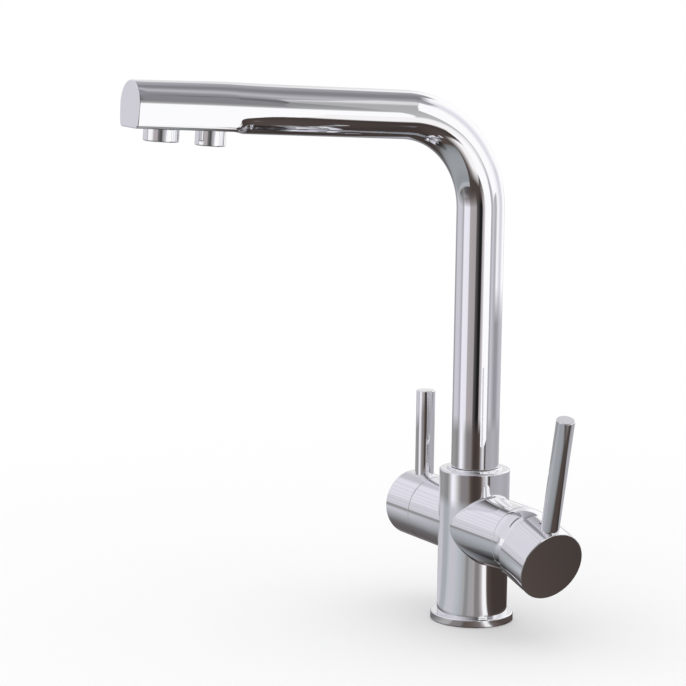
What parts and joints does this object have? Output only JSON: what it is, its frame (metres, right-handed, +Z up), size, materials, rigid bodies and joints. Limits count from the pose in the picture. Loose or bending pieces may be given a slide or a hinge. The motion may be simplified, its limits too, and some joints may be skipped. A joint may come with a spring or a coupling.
{
  "type": "three way filtered water tap",
  "caption": "Kitchen mixer tap with a swivelling square swan-neck spout, a tilting mixer handle and a separate filtered water handle and outlet.",
  "frame": {"origin": "centre of the tap's foot on the worktop, on the spout's swivel axis", "axes": "+Z up the swivel axis, spout reaching along -Y, mixer handle on +X, filter handle on -X"},
  "size_m": [0.1924, 0.2779, 0.3587],
  "materials": {
    "chrome": "polished",
    "rubber": "matt",
    "steel": "bright",
    "cartridge_plastic": "moulded",
    "insert_plastic": "moulded",
    "ceramic": "lapped",
    "brass": "machined",
    "indicator": "glossy"
  },
  "bodies": {
    "body": {"base_ring": "chrome", "base_gasket": "rubber", "body_casting": "chrome", "spout_collar": "chrome", "spout_retaining_screw": "steel", "cartridge_port_seals": "rubber", "cartridge_housing": "cartridge_plastic", "cartridge_fixed_disc": "ceramic", "cartridge_nut": "brass", "mixer_dome": "chrome", "headwork_body": "brass", "headwork_oring": "rubber", "headwork_seat_seal": "rubber", "headwork_fixed_disc": "ceramic"},
    "spout": {"spout_shell": "chrome", "swivel_sleeve": "brass", "slide_rings": "cartridge_plastic", "spout_orings": "rubber", "filter_pipe": "steel", "filter_spigot": "brass", "spigot_oring": "rubber", "outlet_boss": "brass", "filter_elbow": "brass", "mixed_outlet_collar": "chrome", "mixed_aerator": "insert_plastic", "filter_outlet_collar": "chrome", "filter_flow_straightener": "insert_plastic", "outlet_washers": "rubber"},
    "mixer_rotor": {"cartridge_rotor": "cartridge_plastic", "pivot_pin": "steel"},
    "mixer_handle": {"mixer_stem": "steel", "mixer_knob": "chrome", "mixer_lever": "chrome", "mixer_set_screw": "steel", "indicator_plug": "indicator"},
    "mixer_disc": {"disc_carrier": "cartridge_plastic", "cartridge_moving_disc": "ceramic"},
    "filter_handle": {"headwork_spindle": "brass", "headwork_moving_disc": "ceramic", "spindle_oring": "rubber", "filter_knob": "chrome", "filter_lever": "chrome", "filter_set_screw": "steel"}
  },
  "joints": [
    {"name": "spout_swivel", "type": "hinge", "parent": "body", "child": "spout", "pos_m": [0, 0, 0.1], "axis": [0, 0, 1], "continuous": true},
    {"name": "mixer_turn", "type": "hinge", "parent": "body", "child": "mixer_rotor", "pos_m": [0.0584, 0, 0.0636], "axis": [1, 0, 0], "range_deg": [-49.6, 40.4]},
    {"name": "mixer_tilt", "type": "hinge", "parent": "mixer_rotor", "child": "mixer_handle", "pos_m": [0.0584, 0, 0.0636], "axis": [0, 0.9968, 0.0802], "range_deg": [-16.9, 8.1]},
    {"name": "disc_slide", "type": "slide", "parent": "mixer_rotor", "child": "mixer_disc", "axis": [0, -0.0802, 0.9968], "range_m": [-0.0029, 0.0014]},
    {"name": "filter_turn", "type": "hinge", "parent": "body", "child": "filter_handle", "pos_m": [-0.062, 0, 0.0636], "axis": [1, 0, 0], "range_deg": [0, 90]}
  ],
  "couplings": [
    {"joint": "disc_slide", "follows": "mixer_tilt", "m_per_rad": 0.0093}
  ]
}
